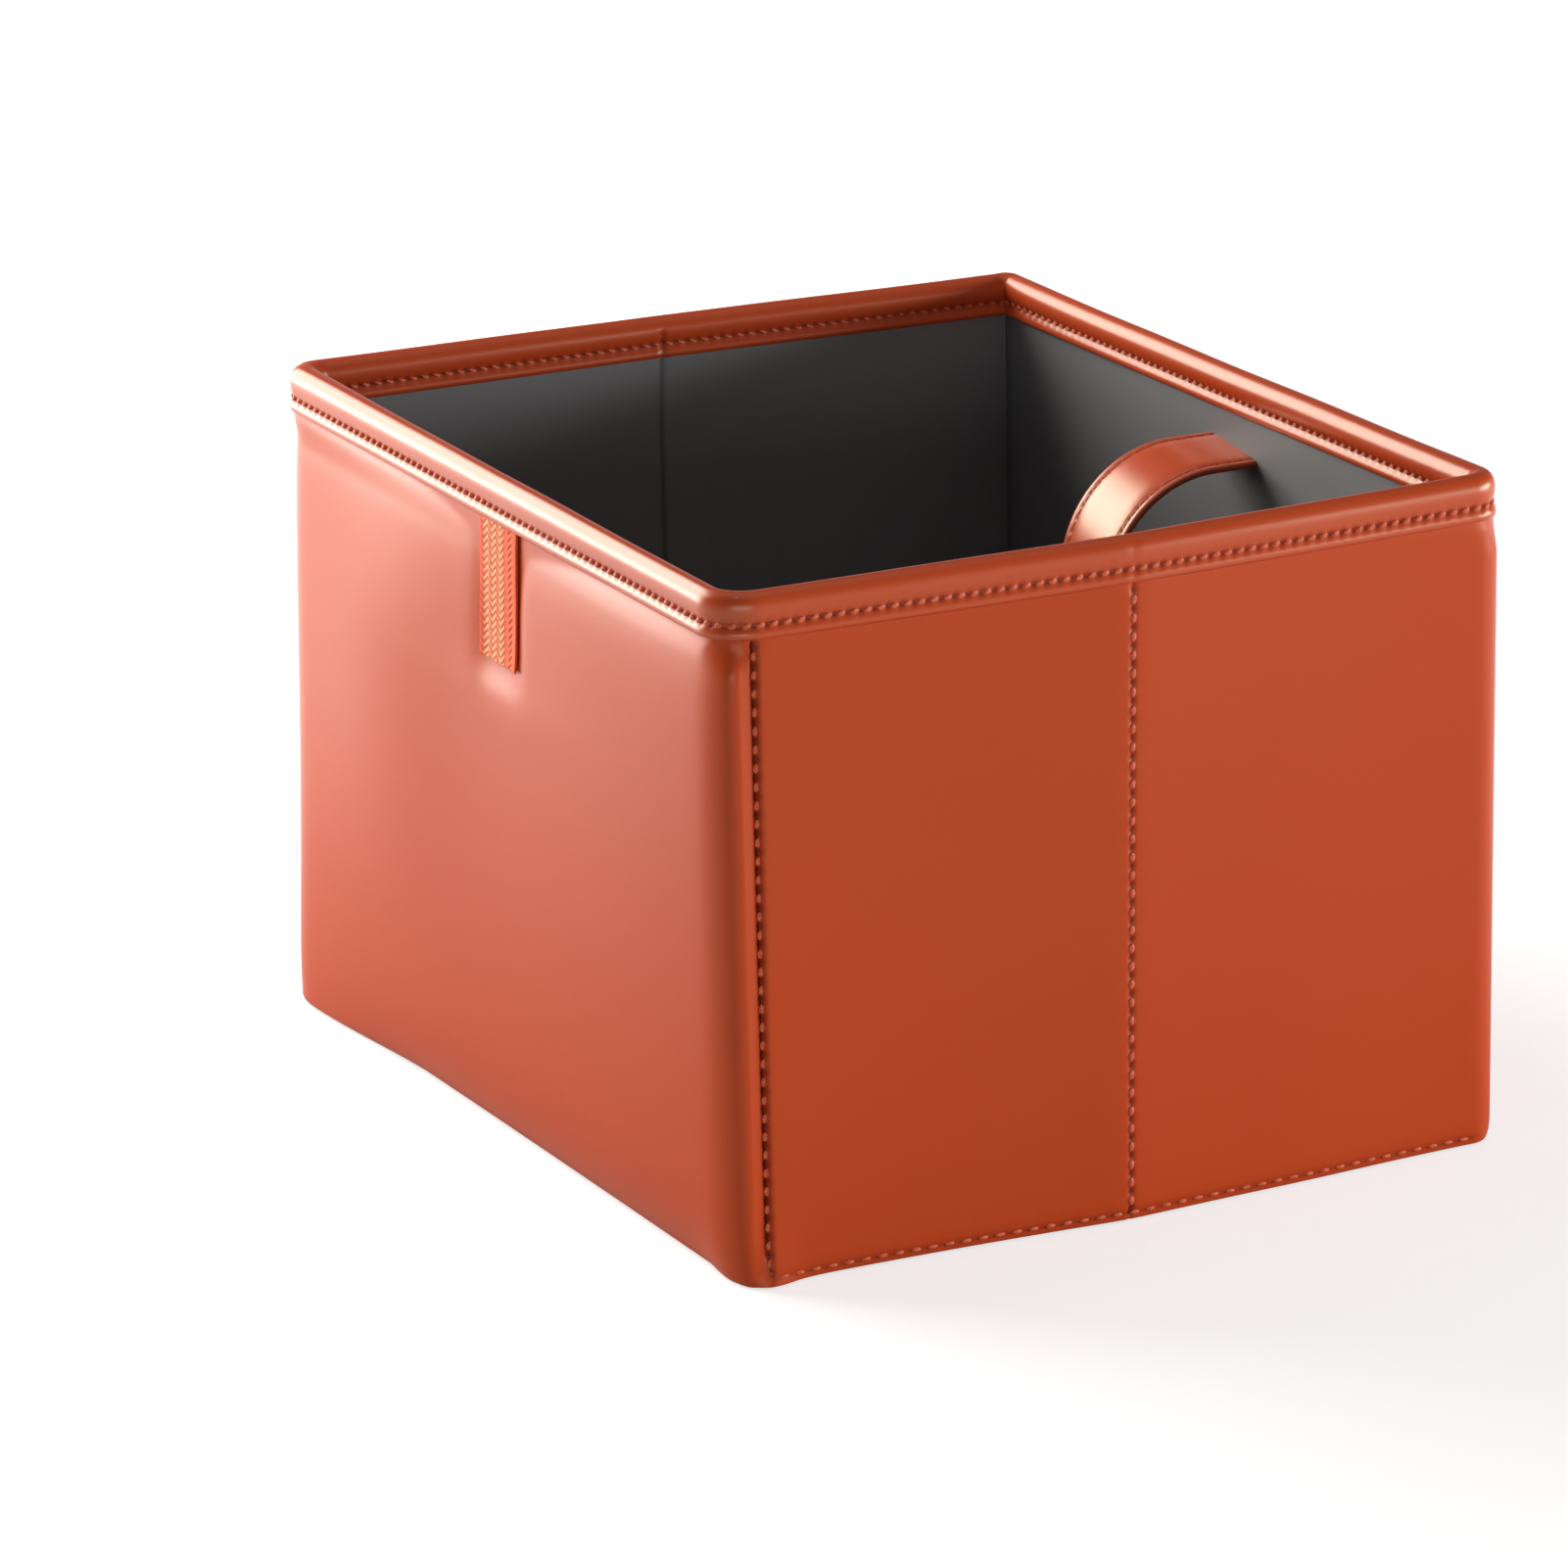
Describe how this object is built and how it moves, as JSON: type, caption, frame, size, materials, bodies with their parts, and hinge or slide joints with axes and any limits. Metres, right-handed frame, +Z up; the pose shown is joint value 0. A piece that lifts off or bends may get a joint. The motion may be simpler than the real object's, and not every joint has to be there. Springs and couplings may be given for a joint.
{
  "type": "car trash bin",
  "caption": "Open-topped folding car bin: board-stiffened padded leather walls, rolled leather rim, dark lining, inner pull strap and a bare woven label under the front rim.",
  "frame": {"origin": "on the floor under the middle of the bin's body", "axes": "+Z up out of the mouth; +X along the front wall; the front wall with the label faces -Y and the rear wall with the strap is at +Y"},
  "size_m": [0.2494, 0.2088, 0.165],
  "materials": {
    "leather": "fine-grained coated leather, satin",
    "lining": "smooth coated cloth, satin",
    "board": "plain stiffening board",
    "foam": "soft foam sheet",
    "label": "plain woven ribbon"
  },
  "bodies": {
    "root": {"front_skin": "leather", "rear_skin": "leather", "right_side_skin": "leather", "left_side_skin": "leather", "base_skin": "leather", "rim_binding": "leather", "pull_strap": "leather", "front_board": "board", "rear_board": "board", "right_front_board": "board", "right_rear_board": "board", "left_front_board": "board", "left_rear_board": "board", "base_board": "board", "front_pad": "foam", "rear_pad": "foam", "right_front_pad": "foam", "right_rear_pad": "foam", "left_front_pad": "foam", "left_rear_pad": "foam", "front_lining": "lining", "rear_lining": "lining", "right_lining": "lining", "left_lining": "lining", "base_lining": "lining", "woven_label": "label"}
  },
  "joints": []
}
